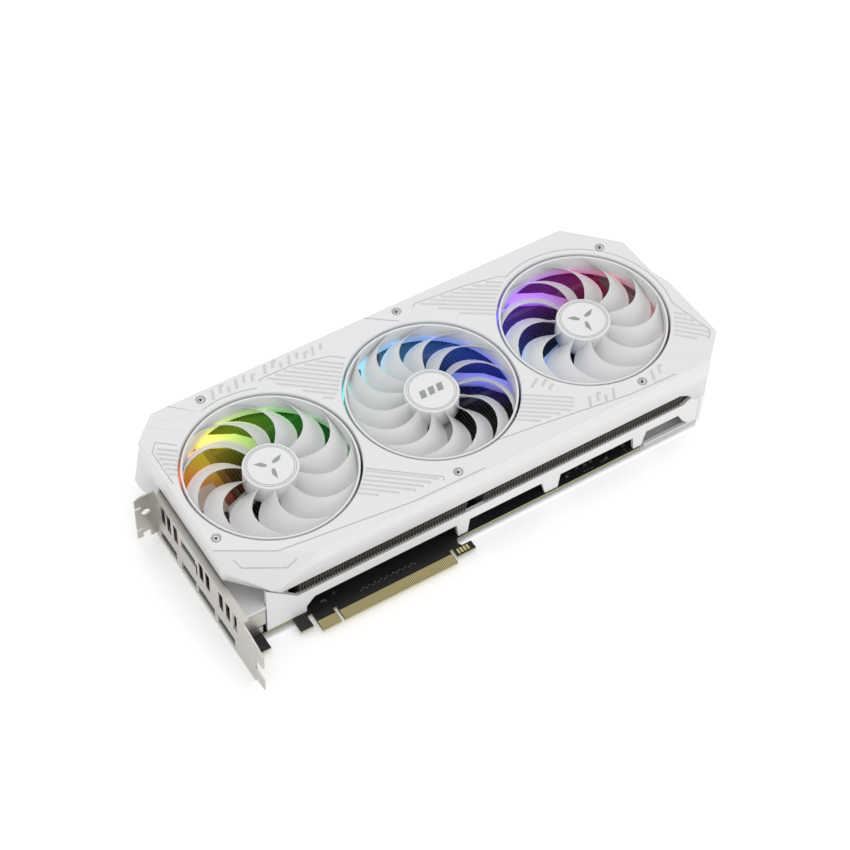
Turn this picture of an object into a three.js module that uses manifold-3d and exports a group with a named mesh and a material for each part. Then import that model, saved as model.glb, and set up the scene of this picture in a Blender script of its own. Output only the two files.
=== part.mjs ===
// Triple-fan graphics card, in millimetres. +X runs from the slot bracket to the far end, +Y from
// the edge connector to the opposite long edge, and +Z from the backplate to the fans.
// Inside this file the drawing's zero is the bracket's outer face (X), 100 mm below the bracket's
// tab (Y) and the bracket's lower edge (Z). The last lines move the origin to the bottom centre.
import * as THREE from 'three';
import Module from 'manifold-3d';
import { mergeVertices } from 'three/addons/utils/BufferGeometryUtils.js';

const wasm = await Module();
wasm.setup();

// ---------- driving dimensions ----------
const CARD_LENGTH = 318.5; // bracket face to far end
const CARD_HEIGHT = 140.1; // edge contacts to far edge
const CARD_THICK = 57.8; // backplate to shroud top
const BOTTOM_Z = -0.8;
const TOP_Z = BOTTOM_Z + CARD_THICK;
const TONGUE_Y = -4.14; // lower edge of the edge connector
const FAR_Y = TONGUE_Y + CARD_HEIGHT;
const GAP = 0.3; // clearance between touching pieces

const BRACKET_HEIGHT = 120.02;
const BRACKET_TOP_Y = 100;
const BRACKET_LOW_Y = BRACKET_TOP_Y - BRACKET_HEIGHT;
const BRACKET_DEPTH = 38.74; // Z extent of the bracket's face
const BRACKET_SHEET = 0.9;
const TAB_REACH = 11.43; // the tab runs this far out along -X

const FAN_X0 = 56.9;
const FAN_PITCH = 101.2;
const FAN_Y = 70.8;
const FAN_COUNT = 3;
const OPENING_R = 49.2;
const RING_R = 47.9;
const RING_WALL = 1.3;
const RING_LOW_Z = 43;
const HUB_R = 15.5;
const HUB_WALL = 1.6;
const HUB_TOP_Z = 55.6;
const HUB_LOW_Z = 43;
const BLADE_TOP_Z = 55.2;
const BLADE_LOW_Z = 45.2;
const BLADE_THICK = 1.2;
const OUTER_FAN = { count: 11, direction: 1, turnDeg: 0, widthDeg: 26 };
const MIDDLE_FAN = { count: 13, direction: -1, turnDeg: 185, widthDeg: 22.5 };
const SHAFT_R = 1.5;

const NEAR_WALL_Y = 8;
const FRAME_FACE_Y = 10.6;
const LEFT_WALL_X = 3.4;
const SHROUD_WALL = 2.2;
const SHROUD_PLATE = 2.4;
const FRAME_TOP_Z = 26.5;
const BOARD_Z0 = 2.2;
const BOARD_Z1 = 3.8;
const PLATE_Z1 = 1.2; // backplate's inner face
const FIN_LOW_Z = 15.5;
const FIN_TOP_Z = 37.5;
const FIN_PITCH = 8;
const FIN_THICK = 1.2;
const FIN_NEAR_Y = 11.2;
const FIN_FAR_Y = 130;

const fanCentre = (index) => [FAN_X0 + index * FAN_PITCH, FAN_Y];

// ---------- materials ----------
const finish = (color, roughness, metalness = 0) =>
  new THREE.MeshStandardMaterial({ color, roughness, metalness });
const white = finish(0xe9eaec, 0.45);
const whiteMetal = finish(0xe6e8ea, 0.5, 0.1);
const black = finish(0x1b1c1e, 0.6);
const steel = finish(0xb9b6ae, 0.35, 0.9);
const finBlack = finish(0x2a2826, 0.45, 0.7);
const copper = finish(0xb87350, 0.35, 0.9);
const gold = finish(0xc9a94f, 0.3, 0.9);
const diffuser = finish(0xf3f3ee, 0.4);

// ---------- geometry helpers ----------
// Positive when the faces point outwards.
function signedVolume(points, triangles) {
  const corner = (k) => new THREE.Vector3().fromArray(points, 3 * triangles[k]);
  let total = 0;
  for (let k = 0; k < triangles.length; k += 3) {
    total += corner(k).dot(corner(k + 1).cross(corner(k + 2)));
  }
  return total / 6;
}

function solid(geometry) {
  const bare = geometry.clone();
  bare.deleteAttribute('normal');
  bare.deleteAttribute('uv');
  const merged = mergeVertices(bare, 1e-4);
  const vertProperties = new Float32Array(merged.attributes.position.array);
  const triVerts = new Uint32Array(merged.index.array);
  if (signedVolume(vertProperties, triVerts) < 0) {
    triVerts.reverse();
  }
  return new wasm.Manifold(new wasm.Mesh({ numProp: 3, vertProperties, triVerts }));
}

function geometryOf(manifold) {
  const mesh = manifold.getMesh();
  const geometry = new THREE.BufferGeometry();
  geometry.setAttribute('position', new THREE.BufferAttribute(new Float32Array(mesh.vertProperties), 3));
  geometry.setIndex(new THREE.BufferAttribute(new Uint32Array(mesh.triVerts), 1));
  return geometry;
}

function shapeOf(points, holes = []) {
  const shape = new THREE.Shape(points.map(([a, b]) => new THREE.Vector2(a, b)));
  for (const hole of holes) {
    shape.holes.push(new THREE.Path(hole.map(([a, b]) => new THREE.Vector2(a, b))));
  }
  return shape;
}

function prism(points, low, high, holes = []) {
  const geometry = new THREE.ExtrudeGeometry(shapeOf(points, holes), {
    depth: high - low,
    bevelEnabled: false,
    curveSegments: 12,
  });
  return geometry.translate(0, 0, low);
}

// Outline in (X, Y), extruded along Z.
const prismZ = (points, z0, z1, holes) => solid(prism(points, z0, z1, holes));
// Outline in (X, Z), extruded along Y.
const prismY = (points, y0, y1, holes) =>
  solid(prism(points, -y1, -y0, holes).applyMatrix4(new THREE.Matrix4().makeRotationX(Math.PI / 2)));
// Outline in (Y, Z), extruded along X.
const turnToX = new THREE.Matrix4().set(0, 0, 1, 0, 1, 0, 0, 0, 0, 1, 0, 0, 0, 0, 0, 1);
const prismX = (points, x0, x1, holes) => solid(prism(points, x0, x1, holes).applyMatrix4(turnToX));

const rect = (a0, a1, b0, b1) => [[a0, b0], [a1, b0], [a1, b1], [a0, b1]];

function block(x0, x1, y0, y1, z0, z1) {
  const geometry = new THREE.BoxGeometry(x1 - x0, y1 - y0, z1 - z0);
  return solid(geometry.translate((x0 + x1) / 2, (y0 + y1) / 2, (z0 + z1) / 2));
}

function arc(cx, cy, r, startDeg, endDeg, steps) {
  return Array.from({ length: steps + 1 }, (_, i) => {
    const angle = THREE.MathUtils.degToRad(startDeg + ((endDeg - startDeg) * i) / steps);
    return [cx + r * Math.cos(angle), cy + r * Math.sin(angle)];
  });
}

// A turned piece on a vertical axis: profile is a closed loop of (radius, z).
function turned(cx, cy, profile, segments = 32) {
  const points = [...profile, profile[0]].map(([r, z]) => new THREE.Vector2(r, z));
  const geometry = new THREE.LatheGeometry(points, segments);
  geometry.applyMatrix4(new THREE.Matrix4().makeRotationX(Math.PI / 2));
  return solid(geometry.translate(cx, cy, 0));
}

// A cylinder on a vertical axis.
function rod(cx, cy, r, z0, z1, segments = 24) {
  const geometry = new THREE.CylinderGeometry(r, r, z1 - z0, segments);
  geometry.rotateX(Math.PI / 2);
  return solid(geometry.translate(cx, cy, (z0 + z1) / 2));
}

// Removes everything past a plane through point, on the side that outward points to.
function trim(body, point, outward) {
  const reach = 900;
  const geometry = new THREE.BoxGeometry(reach, reach, reach);
  geometry.translate(0, 0, reach / 2);
  const direction = new THREE.Vector3(...outward).normalize();
  const turn = new THREE.Quaternion().setFromUnitVectors(new THREE.Vector3(0, 0, 1), direction);
  geometry.applyQuaternion(turn).translate(...point);
  return body.subtract(solid(geometry));
}

const card = new THREE.Group();
card.name = 'graphics_card';
const drawing = new THREE.Group();
card.add(drawing);

function place(name, manifold, material) {
  const mesh = new THREE.Mesh(geometryOf(manifold), material);
  mesh.name = name;
  drawing.add(mesh);
}

// ---------- shroud ----------
const RIGHT_CORNER = [[302, NEAR_WALL_Y], [CARD_LENGTH, 24.5], [CARD_LENGTH, 30], [317, 69]];
const FAR_RIGHT = [[313.5, 80], [312.5, 108], [311, 112.5], [296, 127], [287, FAR_Y]];
const FAR_LEFT = [[28, FAR_Y], [18, 133.5], [11, 127], [LEFT_WALL_X, 119.8]];
const shroudOutline = [
  [LEFT_WALL_X, 28.4], [21, 9.8], [27, NEAR_WALL_Y], ...RIGHT_CORNER, ...FAR_RIGHT, ...FAR_LEFT,
];

// The same outline pushed inwards by a distance, by shrinking about each corner's bisector.
function inset(points, distance) {
  return points.map((here, i) => {
    const before = points[(i + points.length - 1) % points.length];
    const after = points[(i + 1) % points.length];
    const unit = (a, b) => {
      const length = Math.hypot(b[0] - a[0], b[1] - a[1]);
      return [(b[0] - a[0]) / length, (b[1] - a[1]) / length];
    };
    const u = unit(before, here);
    const v = unit(here, after);
    const bisector = [-(u[1] + v[1]), u[0] + v[0]];
    const scale = distance / (1 + u[0] * v[0] + u[1] * v[1]);
    return [here[0] + bisector[0] * scale, here[1] + bisector[1] * scale];
  });
}

const screwPlaces = [[46, 128.5], [171, 128.5], [298, 110.5], [9, 43.5], [140, 15.5], [260.8, 16]];
const COUNTERSINK_R = 2.9;
const COUNTERSINK_DEPTH = 1.8;
const SCREW_HOLE_R = 1.7;
const SKIRT_LOW_Z = 21;
const NEAR_SKIRT_Z = 37.8;
const LEFT_SKIRT_Z = 42;
const END_SKIRT_Z = FRAME_TOP_Z + GAP;

// Each sloping face of the casing: a point on it and its outward direction.
const SHROUD_FACETS = [
  { point: [100, NEAR_WALL_Y, 51.4], outward: [0, -5.6, 1] },
  { point: [100, 133.4, TOP_Z], outward: [0, 4, 2.6] },
  { point: [31, 21, TOP_Z], outward: [-16.5, -27.5, 33.8] },
  { point: [301, 118, TOP_Z], outward: [4, 4, 4] },
];

// Cuts the sloping faces, each moved inwards by a depth.
function facetted(body, depth) {
  return SHROUD_FACETS.reduce((rest, { point, outward }) => {
    const length = Math.hypot(...outward);
    const moved = point.map((value, axis) => value - (outward[axis] / length) * depth);
    return trim(rest, moved, outward);
  }, body);
}

function shroud() {
  let body = facetted(prismZ(shroudOutline, SKIRT_LOW_Z, TOP_Z), 0);
  const cavity = prismZ(inset(shroudOutline, SHROUD_WALL), SKIRT_LOW_Z - 1, TOP_Z - SHROUD_PLATE);
  body = body.subtract(facetted(cavity, SHROUD_WALL));
  for (let i = 0; i < FAN_COUNT; i++) {
    const [x, y] = fanCentre(i);
    body = body.subtract(rod(x, y, OPENING_R, SKIRT_LOW_Z, TOP_Z + 1, 64));
  }
  // The skirt is cut to a different depth on each side.
  const nearCut = [
    [-1, -1], [-1, LEFT_SKIRT_Z], [20, LEFT_SKIRT_Z], [27, NEAR_SKIRT_Z], [287, NEAR_SKIRT_Z],
    [296, END_SKIRT_Z], [400, END_SKIRT_Z], [400, -1],
  ];
  body = body.subtract(prismY(nearCut, -10, 24));
  body = body.subtract(block(-1, 12, 20, 98, 0, LEFT_SKIRT_Z));
  body = body.subtract(block(20, 286, 120, 150, 0, NEAR_SKIRT_Z));
  body = body.subtract(block(286, 400, 20, 150, 0, END_SKIRT_Z));
  for (const [x, y] of screwPlaces) {
    body = body.subtract(rod(x, y, COUNTERSINK_R, TOP_Z - COUNTERSINK_DEPTH, TOP_Z + 1, 20));
    body = body.subtract(rod(x, y, SCREW_HOLE_R, TOP_Z - 12, TOP_Z + 1, 12));
  }
  return body;
}

// ---------- shroud screws ----------
function buttonScrew(x, y) {
  const seat = TOP_Z - COUNTERSINK_DEPTH + GAP;
  const profile = [
    [0, seat - 5], [1.3, seat - 5], [1.3, seat], [2.3, seat], [2.3, seat + 0.5], [1.7, seat + 1.3],
    [0, seat + 1.3],
  ];
  const hexSocket = rod(x, y, 0.9, seat + 0.3, seat + 2, 6);
  return turned(x, y, profile, 16).subtract(hexSocket);
}

// ---------- fans ----------
// The angle of a blade's leading edge, in degrees, at a radius: it sweeps forward towards the ring.
const sweepAt = (r) => 86 + 39 * Math.pow(Math.max(0, (r - 16) / (RING_R - 16.5)), 2.6);

function blade(direction, turnDeg, widthDeg) {
  const radii = [HUB_R - 1, 22, 30, 38, 43.5, RING_R - 0.65];
  const chord = 4;
  const upper = [];
  const lower = [];
  for (const r of radii) {
    for (let j = 0; j < chord; j++) {
      const along = j / (chord - 1);
      const angle = THREE.MathUtils.degToRad(turnDeg + direction * (sweepAt(r) - widthDeg * along));
      const fall = 1 - Math.pow(1 - along, 1.25);
      const top = BLADE_TOP_Z - (BLADE_TOP_Z - BLADE_LOW_Z) * fall;
      upper.push([r * Math.cos(angle), r * Math.sin(angle), top]);
      lower.push([r * Math.cos(angle), r * Math.sin(angle), top - BLADE_THICK]);
    }
  }
  const rows = radii.length;
  const faces = [];
  const quad = (a, b, c, d) => faces.push(a, b, c, a, c, d);
  const top = (i, j) => i * chord + j;
  const low = (i, j) => rows * chord + i * chord + j;
  for (let i = 0; i < rows - 1; i++) {
    for (let j = 0; j < chord - 1; j++) {
      quad(top(i, j), top(i, j + 1), top(i + 1, j + 1), top(i + 1, j));
      quad(low(i, j), low(i + 1, j), low(i + 1, j + 1), low(i, j + 1));
    }
    quad(top(i, 0), top(i + 1, 0), low(i + 1, 0), low(i, 0));
    quad(top(i + 1, chord - 1), top(i, chord - 1), low(i, chord - 1), low(i + 1, chord - 1));
  }
  for (let j = 0; j < chord - 1; j++) {
    quad(top(0, j + 1), top(0, j), low(0, j), low(0, j + 1));
    quad(top(rows - 1, j), top(rows - 1, j + 1), low(rows - 1, j + 1), low(rows - 1, j));
  }
  const geometry = new THREE.BufferGeometry();
  geometry.setAttribute('position', new THREE.Float32BufferAttribute([...upper, ...lower].flat(), 3));
  geometry.setIndex(faces);
  return solid(geometry);
}

function rotor(index) {
  const [x, y] = fanCentre(index);
  const { count, direction, turnDeg, widthDeg } = index === 1 ? MIDDLE_FAN : OUTER_FAN;
  const cup = [
    [HUB_R, HUB_LOW_Z], [HUB_R, HUB_TOP_Z - 0.8], [HUB_R - 0.8, HUB_TOP_Z], [0, HUB_TOP_Z],
    [0, HUB_TOP_Z - HUB_WALL], [HUB_R - HUB_WALL, HUB_TOP_Z - HUB_WALL], [HUB_R - HUB_WALL, HUB_LOW_Z],
  ];
  const ring = rect(RING_R - RING_WALL, RING_R, RING_LOW_Z, TOP_Z - 1);
  let body = turned(0, 0, cup, 32).add(turned(0, 0, ring, 48));
  for (let k = 0; k < count; k++) {
    body = body.add(blade(direction, (360 * k) / count + turnDeg, widthDeg));
  }
  return body.translate([x, y, 0]);
}

const STRUT_Z0 = 38.3;
const STRUT_Z1 = 40.6;
const STRUT_HALF_WIDTH = 4.2;
const STRUT_COUNT = 3;
// A strut's bent centre line, from the motor out to the opening's edge.
const STRUT_LINE = [[5, 10], [7.5, 24], [-3, 36], [-23, 46.5]];
const MIDDLE_STRUT_TURN = -81;

// A band of even width round an open line, with mitred corners.
function bandAround(line, half) {
  const side = (sign) =>
    line.map((here, i) => {
      const before = line[Math.max(0, i - 1)];
      const after = line[Math.min(line.length - 1, i + 1)];
      const steps = [[before, here], [here, after]].filter(([a, b]) => a !== b);
      const normals = steps.map(([a, b]) => {
        const length = Math.hypot(b[0] - a[0], b[1] - a[1]);
        return [-(b[1] - a[1]) / length, (b[0] - a[0]) / length];
      });
      const nx = normals.reduce((sum, n) => sum + n[0], 0);
      const ny = normals.reduce((sum, n) => sum + n[1], 0);
      const scale = (sign * half * normals.length) / (nx * nx + ny * ny);
      return [here[0] + nx * scale, here[1] + ny * scale];
    });
  return [...side(-1), ...side(1).reverse()];
}

function stator(index) {
  const [x, y] = fanCentre(index);
  const core = HUB_R - HUB_WALL - 1;
  let body = turned(x, y, [[SHAFT_R + GAP, STRUT_Z0], [core, STRUT_Z0], [core, HUB_TOP_Z - 3],
    [SHAFT_R + GAP, HUB_TOP_Z - 3]], 32);
  const arm = prismZ(bandAround(STRUT_LINE, STRUT_HALF_WIDTH), STRUT_Z0, STRUT_Z1);
  const handed = index === 1 ? arm.mirror([1, 0, 0]).rotate([0, 0, MIDDLE_STRUT_TURN]) : arm;
  for (let k = 0; k < STRUT_COUNT; k++) {
    body = body.add(handed.rotate([0, 0, (360 * k) / STRUT_COUNT]).translate([x, y, 0]));
  }
  body = body.subtract(rod(x, y, SHAFT_R + GAP, STRUT_Z0 - 1, HUB_TOP_Z, 16));
  return body;
}

function shaft(index) {
  const [x, y] = fanCentre(index);
  return rod(x, y, SHAFT_R, STRUT_Z0 + 1, HUB_TOP_Z - HUB_WALL - GAP, 16);
}

const LIGHT_START = 15;
const LIGHT_END = 200;
const LIGHT_TOP_Z = 47.5;

// A thin light bar stands on the struts and curves round each fan, outside its blades.
function lightBar(index) {
  const [x, y] = fanCentre(index);
  const outer = arc(x, y, OPENING_R - 0.1, LIGHT_START, LIGHT_END, 24);
  const inner = arc(x, y, OPENING_R - 0.9, LIGHT_END, LIGHT_START, 24);
  return prismZ([...outer, ...inner], STRUT_Z1 + GAP, LIGHT_TOP_Z);
}

// ---------- frames ----------
const LEG_LOW_Z = BOARD_Z1 + GAP;

function nearFrame() {
  const outline = [
    [19.4, LEG_LOW_Z], [43.5, LEG_LOW_Z], [43.5, 9], [48.5, 15], [138, 15], [139.5, LEG_LOW_Z],
    [145.5, LEG_LOW_Z], [146.5, 15], [194, 15], [197, LEG_LOW_Z], [205.5, LEG_LOW_Z], [206.5, 15],
    [256, 15], [257.5, LEG_LOW_Z], [263, LEG_LOW_Z], [265, 15], [287.5, 15], [291.5, 8], [296, 3.2],
    [265, 3.2], [265, 1.6], [301.8, 1.6], [301.8, FRAME_TOP_Z], [295, FRAME_TOP_Z], [290, 23],
    [38, 23], [28.5, 32.3], [22, 38.5], [19.4, 41],
  ];
  return prismY(outline, FRAME_FACE_Y, FRAME_FACE_Y + 2.2);
}

// The end frame closes the far end: a chamfered corner, an end wall with a row of slots and a floor.
function endFrame() {
  const outer = [[302.1, FRAME_FACE_Y], [304.4, FRAME_FACE_Y], [CARD_LENGTH, 25.5], [CARD_LENGTH, 30],
    [317, 69], [313.5, 80], [312.5, 108], [311, 112.5], [296, 127], [290, 132.5]];
  const inner = [[289, 130], [294.5, 125.2], [308.8, 111.2], [310.2, 107], [311.2, 79.5], [314.8, 68.5],
    [316, 30], [316, 26.5], [303.4, 12.8], [302.1, 12.8]];
  let body = prismZ([...outer, ...inner], PLATE_Z1 + GAP, FRAME_TOP_Z);
  for (let y = 34; y < 64; y += 7) {
    body = body.subtract(block(305, 330, y, y + 3.4, 6, 22));
  }
  return body;
}

function farFrame() {
  const outline = [
    [24, LEG_LOW_Z], [32, LEG_LOW_Z], [34, 15], [112, 15], [114, 9.5], [130, 9.5], [132, 15],
    [180, 15], [182, LEG_LOW_Z], [190, LEG_LOW_Z], [192, 15.5], [262, 15.5], [264, LEG_LOW_Z],
    [272, LEG_LOW_Z], [272, FRAME_TOP_Z - 1], [24, FRAME_TOP_Z - 1],
  ];
  return prismY(outline, 131.2, 133.4);
}

// A flat white deck over the sockets, cut away round the upper one.
function deck() {
  const outline = [
    [4.6, FRAME_FACE_Y], [19.1, FRAME_FACE_Y], [19.1, 13.1], [34, 13.1], [34, 96], [4.6, 96],
    [4.6, 70], [18, 70], [18, 51], [4.6, 51],
  ];
  return prismZ(outline, 25.4, 27.4);
}

// ---------- backplate ----------
const GPU_X = 128;
const GPU_Y = 74;
const PLATE_ARM = 40;
const SPRING_OFFSET = 26;
const springHoles = [[-1, -1], [1, -1], [1, 1], [-1, 1]].map(([a, b]) => [
  GPU_X + a * SPRING_OFFSET,
  GPU_Y + b * SPRING_OFFSET,
]);

// Four diagonal arms round a middle, behind the processor.
function crossPiece(arm, z0, z1, margin) {
  const half = 4.2 + margin;
  let body = rod(GPU_X, GPU_Y, 13 + margin, z0, z1, 24);
  for (const angle of [45, 135]) {
    const bar = block(-arm, arm, -half, half, z0, z1).rotate([0, 0, angle]);
    body = body.add(bar.translate([GPU_X, GPU_Y, 0]));
  }
  return body;
}

function backplate() {
  const outline = [
    [3.4, 11.5], [12, 8.6], [290, 8.6], [300.5, 8.6], [316.8, 25.5], [316.8, 30], [315.4, 69],
    [312, 80], [311, 107], [309.6, 111], [295, 125.5], [288, 132.6], [18.5, 132.6], [11.5, 126.4],
    [4.2, 118.4],
  ];
  let body = prismZ(outline, BOTTOM_Z, PLATE_Z1);
  body = body.subtract(crossPiece(PLATE_ARM + 1, BOTTOM_Z - 1, PLATE_Z1 + 1, 1));
  for (let i = 0; i < 7; i++) {
    const x = 270 + i * 5.4;
    body = body.subtract(block(x, x + 2.6, 45, 74, BOTTOM_Z - 1, PLATE_Z1 + 1));
    body = body.subtract(block(x, x + 2.6, 80, 109, BOTTOM_Z - 1, PLATE_Z1 + 1));
  }
  return body;
}

// ---------- circuit board ----------
const BOARD_END_X = 262;
const CONTACTS = [{ name: 'short', x0: 44.95, x1: 56.6 }, { name: 'long', x0: 58.5, x1: 130.15 }];

function board() {
  const outline = [
    [3, 10.6], [5.5, 10.6], [5.5, 0.8], [16.1, 0.8], [16.1, 10.6], [34.3, 10.6], [34.3, 1],
    [42.2, 1], [42.2, 8], [44.95, 8], [44.95, TONGUE_Y], [56.6, TONGUE_Y], [56.6, 5.3],
    [58.5, 5.3], [58.5, TONGUE_Y],
    [130.15, TONGUE_Y], [130.15, 5], [132, 5], [132, -0.5], [144, -0.5], [144, 4.8], [138, 4.8],
    [137, 7], [138, 9.6], [146, 10], [BOARD_END_X, 10], [BOARD_END_X, 132], [18.5, 132],
    [11.5, 126], [4, 118],
  ];
  let body = prismZ(outline, BOARD_Z0, BOARD_Z1);
  const bevel = 0.45;
  body = trim(body, [80, TONGUE_Y, BOARD_Z1 - bevel], [0, -1, 1.12]);
  body = trim(body, [80, TONGUE_Y, BOARD_Z0 + bevel], [0, -1, -1.12]);
  for (const [x, y] of springHoles) {
    body = body.subtract(rod(x, y, 1.9, BOARD_Z0 - 1, BOARD_Z1 + 1, 12));
  }
  return body;
}

// The plate that four sprung screws pull down against the processor's cooler.
function springPlate() {
  let body = crossPiece(PLATE_ARM, -0.2, PLATE_Z1, 0);
  for (const [x, y] of springHoles) {
    body = body.subtract(rod(x, y, 1.9, -1, 3, 12));
  }
  return body;
}

function springScrew(x, y) {
  const profile = [[0, -0.7], [2.6, -0.7], [2.6, -0.5], [1.5, -0.5], [1.5, 5.4], [0, 5.4]];
  return turned(x, y, profile, 14);
}

// ---------- slot bracket ----------
const VENTS = [9.5, 17, 24.5, 39, 46, 74.5, 82, 88.5];
const DISPLAY_PORTS = [20, 42, 84.5];
const HDMI_PORTS = [{ y: 61.5, z: 7.25 }, { y: 60.5, z: 28.6 }];
const DP_MOUTH = { half: 8.4, low: 4.6, high: 9.8 };
const HDMI_MOUTH = { half: 7.3, tall: 2.5 };

const mouthOf = (kind, y, z) =>
  kind === 'dp'
    ? [[y - DP_MOUTH.half, z + DP_MOUTH.low], [y + DP_MOUTH.half, z + DP_MOUTH.low],
      [y + DP_MOUTH.half, z + DP_MOUTH.high], [y - DP_MOUTH.half, z + DP_MOUTH.high]]
    : rect(y - HDMI_MOUTH.half, y + HDMI_MOUTH.half, z - HDMI_MOUTH.tall, z + HDMI_MOUTH.tall);

const grown = ([[a0, b0], , [a1, b1]], by) => rect(a0 - by, a1 + by, b0 - by, b1 + by);

const sockets = [
  ...DISPLAY_PORTS.map((y, i) => ({ name: `displayport_${i + 1}`, mouth: mouthOf('dp', y, 0) })),
  ...HDMI_PORTS.map(({ y, z }, i) => ({ name: `hdmi_${i + 1}`, mouth: mouthOf('hdmi', y, z) })),
];

function bracket() {
  const face = [
    [BRACKET_LOW_Y, 4], [-11.8, 4], [-11, 0.6], [-9, 0], [99.1, 0], [BRACKET_TOP_Y, 1.5],
    [BRACKET_TOP_Y, BRACKET_DEPTH], [-2, BRACKET_DEPTH], [-14.5, 36.5], [BRACKET_LOW_Y, 34.5],
    [BRACKET_LOW_Y, 24], [-11.8, 22.5], [-11.8, 14.2], [BRACKET_LOW_Y, 13],
  ];
  let body = prismX(face, 0, BRACKET_SHEET);
  body = body.add(block(0, 4.2, 1.5, 97, BRACKET_DEPTH - BRACKET_SHEET, BRACKET_DEPTH));
  const tab = [
    [0.2, 1.5], [0.2, BRACKET_DEPTH], [-7, BRACKET_DEPTH], [-TAB_REACH, 36.5], [-TAB_REACH, 30.4],
    [-7.6, 30.4], [-7.6, 28.6], [-TAB_REACH, 28.6], [-TAB_REACH, 11.2], [-7.6, 11.2], [-7.6, 9.4],
    [-TAB_REACH, 9.4], [-TAB_REACH, 3.5], [-8, 3.5], [-8, 7], [-3.4, 7], [-3.4, 1.5],
  ];
  const hole = arc(-5.3, 24, 2.6, 0, 350, 15).reverse();
  body = body.add(prismY(tab, BRACKET_TOP_Y - BRACKET_SHEET, BRACKET_TOP_Y, [hole]));
  body = body.add(block(0.5, 18.6, FRAME_FACE_Y, FRAME_FACE_Y + 0.9, 12, 25.1));
  for (const y of VENTS) {
    body = body.subtract(block(-1, 3, y - 2.2, y + 2.2, 21.5, 35.8));
  }
  body = body.subtract(block(-1, 3, 50.7, 52.2, 20, 30));
  for (const { mouth } of sockets) {
    body = body.subtract(prismX(grown(mouth, 0.7), -1, 3));
  }
  return body;
}

const SOCKET_DEPTH = 17;

function socket(mouth) {
  const shell = prismX(grown(mouth, 0.55), BRACKET_SHEET - 0.4, SOCKET_DEPTH);
  return shell.subtract(prismX(mouth, -2, SOCKET_DEPTH - 1));
}

// ---------- electronics on the board ----------
function powerSocket(x) {
  let body = block(x, x + 20.4, 118, FAR_Y - 1.2, BOARD_Z1 + GAP, 14.6);
  for (let i = 0; i < 4; i++) {
    for (let j = 0; j < 2; j++) {
      const cx = x + 1.9 + i * 4.2;
      const cz = BOARD_Z1 + 1.4 + j * 4.4;
      body = body.subtract(block(cx, cx + 3.4, 123, FAR_Y, cz, cz + 3.4));
    }
  }
  return body;
}

const SWITCH_X = 118;
const SWITCH_TRAVEL = 2;

const switchBody = () =>
  block(SWITCH_X, SWITCH_X + 8.6, 128, 131.6, BOARD_Z1 + 0.1, BOARD_Z1 + 3.7).subtract(
    block(SWITCH_X + 1.8, SWITCH_X + 6.8, 129, 132, BOARD_Z1 + 1, BOARD_Z1 + 2.8),
  );
const switchLever = () =>
  block(SWITCH_X + 2.1, SWITCH_X + 4.4, 129.3, 133.6, BOARD_Z1 + 1.2, BOARD_Z1 + 2.6);

function gpuPackage() {
  const z0 = BOARD_Z1 + 0.1;
  const substrate = block(GPU_X - 21, GPU_X + 21, GPU_Y - 21, GPU_Y + 21, z0, z0 + 1.2);
  return substrate.add(block(GPU_X - 12, GPU_X + 12, GPU_Y - 13, GPU_Y + 13, z0 + 0.9, z0 + 1.9));
}

// Memory chips stand round three sides of the processor, joined by the solder layer below them.
function memoryChips() {
  const z0 = BOARD_Z1 + 0.1;
  let body = block(GPU_X - 41, GPU_X - 28.2, GPU_Y - 24, GPU_Y + 42, z0, z0 + 0.2);
  body = body.add(block(GPU_X + 28.2, GPU_X + 41, GPU_Y - 24, GPU_Y + 42, z0, z0 + 0.2));
  body = body.add(block(GPU_X - 41, GPU_X + 41, GPU_Y + 29.6, GPU_Y + 42, z0, z0 + 0.2));
  for (let k = 0; k < 3; k++) {
    const y = GPU_Y - 23 + k * 16.5;
    const x = GPU_X - 25 + k * 19;
    body = body.add(block(GPU_X - 40.8, GPU_X - 28.8, y, y + 14, z0, z0 + 1.2));
    body = body.add(block(GPU_X + 28.8, GPU_X + 40.8, y, y + 14, z0, z0 + 1.2));
    body = body.add(block(x, x + 12, GPU_Y + 29.8, GPU_Y + 41.8, z0, z0 + 1.2));
  }
  return body;
}

function chokeRow(x) {
  let body = block(x, x + 7, 24, 112, BOARD_Z1 + 0.1, BOARD_Z1 + 0.5);
  for (let y = 25; y < 108; y += 11) {
    body = body.add(block(x + 0.2, x + 6.8, y, y + 8.5, BOARD_Z1 + 0.1, BOARD_Z1 + 4.6));
  }
  return body;
}

// ---------- cooler ----------
const coldPlate = () =>
  block(GPU_X - 34, GPU_X + 34, GPU_Y - 22, GPU_Y + 38, BOARD_Z1 + 2.3, BOARD_Z1 + 4.9);

function finStack(x0, x1) {
  const profile = [[x1, FIN_LOW_Z], [x1, FIN_LOW_Z + 1.6]];
  for (let x = x1; x - FIN_THICK >= x0; x -= FIN_PITCH) {
    const left = Math.max(x0, x - FIN_THICK);
    profile.push([x, FIN_LOW_Z + 1.6], [x, FIN_TOP_Z], [left, FIN_TOP_Z], [left, FIN_LOW_Z + 1.6]);
  }
  const floorLeft = [[x0, FIN_LOW_Z + 1.6], [x0, FIN_LOW_Z]];
  const points = [...profile, ...floorLeft].filter(
    ([a, b], i, all) => i === 0 || Math.hypot(a - all[i - 1][0], b - all[i - 1][1]) > 1e-6,
  );
  // The near ends stand over the side frame's upper edge.
  const frameRelief = block(x0 - 1, x1 + 1, 0, FRAME_FACE_Y + 2.5, 0, FRAME_TOP_Z - 3.2);
  const endRelief = block(288, x1 + 1, 0, FRAME_FACE_Y + 2.5, 0, FRAME_TOP_Z + GAP);
  const stack = prismY(points, FIN_NEAR_Y, FIN_FAR_Y).subtract(frameRelief).subtract(endRelief);
  return trim(stack, [288, FIN_FAR_Y, FIN_LOW_Z], [1, 1, 0]);
}

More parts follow.
